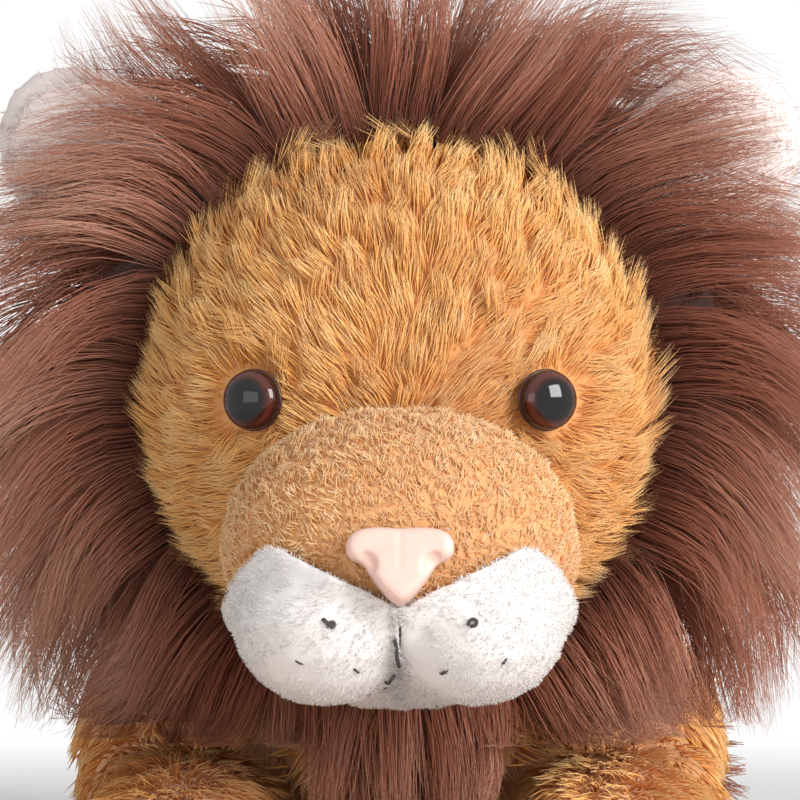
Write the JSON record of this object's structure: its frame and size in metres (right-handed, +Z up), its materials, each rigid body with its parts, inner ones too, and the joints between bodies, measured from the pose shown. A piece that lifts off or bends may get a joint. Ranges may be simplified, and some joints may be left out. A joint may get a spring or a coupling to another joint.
{
  "type": "soft toy lion",
  "caption": "Stuffed toy lion lying on its belly, with a long-haired mane round a short-pile face, moulded nose and eyes, stretched front legs, tucked hind legs and a tufted tail.",
  "frame": {"origin": "the middle of the flat that the belly rests on", "axes": "+Z up from the surface that it lies on, -Y the way the face looks, +X the lion's own left side"},
  "size_m": [0.2064, 0.4025, 0.2173],
  "materials": {
    "tan_pile": "matte",
    "short_tan_pile": "matte",
    "white_pile": "matte",
    "mane_hair": "satin",
    "ear_velour": "matte",
    "pink_plastic": "satin",
    "brown_plastic": "gloss",
    "clear_plastic": "gloss",
    "washer_plastic": "matte"
  },
  "bodies": {
    "trunk": {"body": "tan_pile", "head": "tan_pile", "muzzle": "short_tan_pile", "lip_left": "white_pile", "lip_right": "white_pile", "nose": "pink_plastic", "nose_washer": "washer_plastic", "eye_cap_left": "clear_plastic", "eye_plate_left": "brown_plastic", "eye_washer_left": "washer_plastic", "eye_cap_right": "clear_plastic", "eye_plate_right": "brown_plastic", "eye_washer_right": "washer_plastic", "ear_left": "tan_pile", "ear_right": "tan_pile", "ear_lining_left": "ear_velour", "ear_lining_right": "ear_velour", "mane_crown": "mane_hair", "mane_left": "mane_hair", "mane_right": "mane_hair", "mane_bib": "mane_hair", "mane_nape": "mane_hair"},
    "front_leg_left": {"leg_front_left": "tan_pile"},
    "front_leg_right": {"leg_front_right": "tan_pile"},
    "hind_leg_left": {"leg_hind_left": "tan_pile"},
    "hind_leg_right": {"leg_hind_right": "tan_pile"},
    "tail_and_tuft": {"tail": "tan_pile", "tail_tuft": "mane_hair"}
  },
  "joints": [
    {"name": "shoulder_left", "type": "hinge", "parent": "trunk", "child": "front_leg_left", "pos_m": [0.0465, -0.073, 0.0195], "axis": [0, 0, 1], "range_deg": [0, 35]},
    {"name": "shoulder_right", "type": "hinge", "parent": "trunk", "child": "front_leg_right", "pos_m": [-0.0465, -0.073, 0.0195], "axis": [0, 0, -1], "range_deg": [0, 35]},
    {"name": "hip_left", "type": "hinge", "parent": "trunk", "child": "hind_leg_left", "pos_m": [0.049, 0.053, 0.0315], "axis": [0, 0, 1], "range_deg": [0, 25]},
    {"name": "hip_right", "type": "hinge", "parent": "trunk", "child": "hind_leg_right", "pos_m": [-0.049, 0.053, 0.0315], "axis": [0, 0, -1], "range_deg": [0, 25]},
    {"name": "tail_root", "type": "hinge", "parent": "trunk", "child": "tail_and_tuft", "pos_m": [0, 0.104, 0.03], "axis": [0, 0, 1], "range_deg": [-30, 30]}
  ]
}
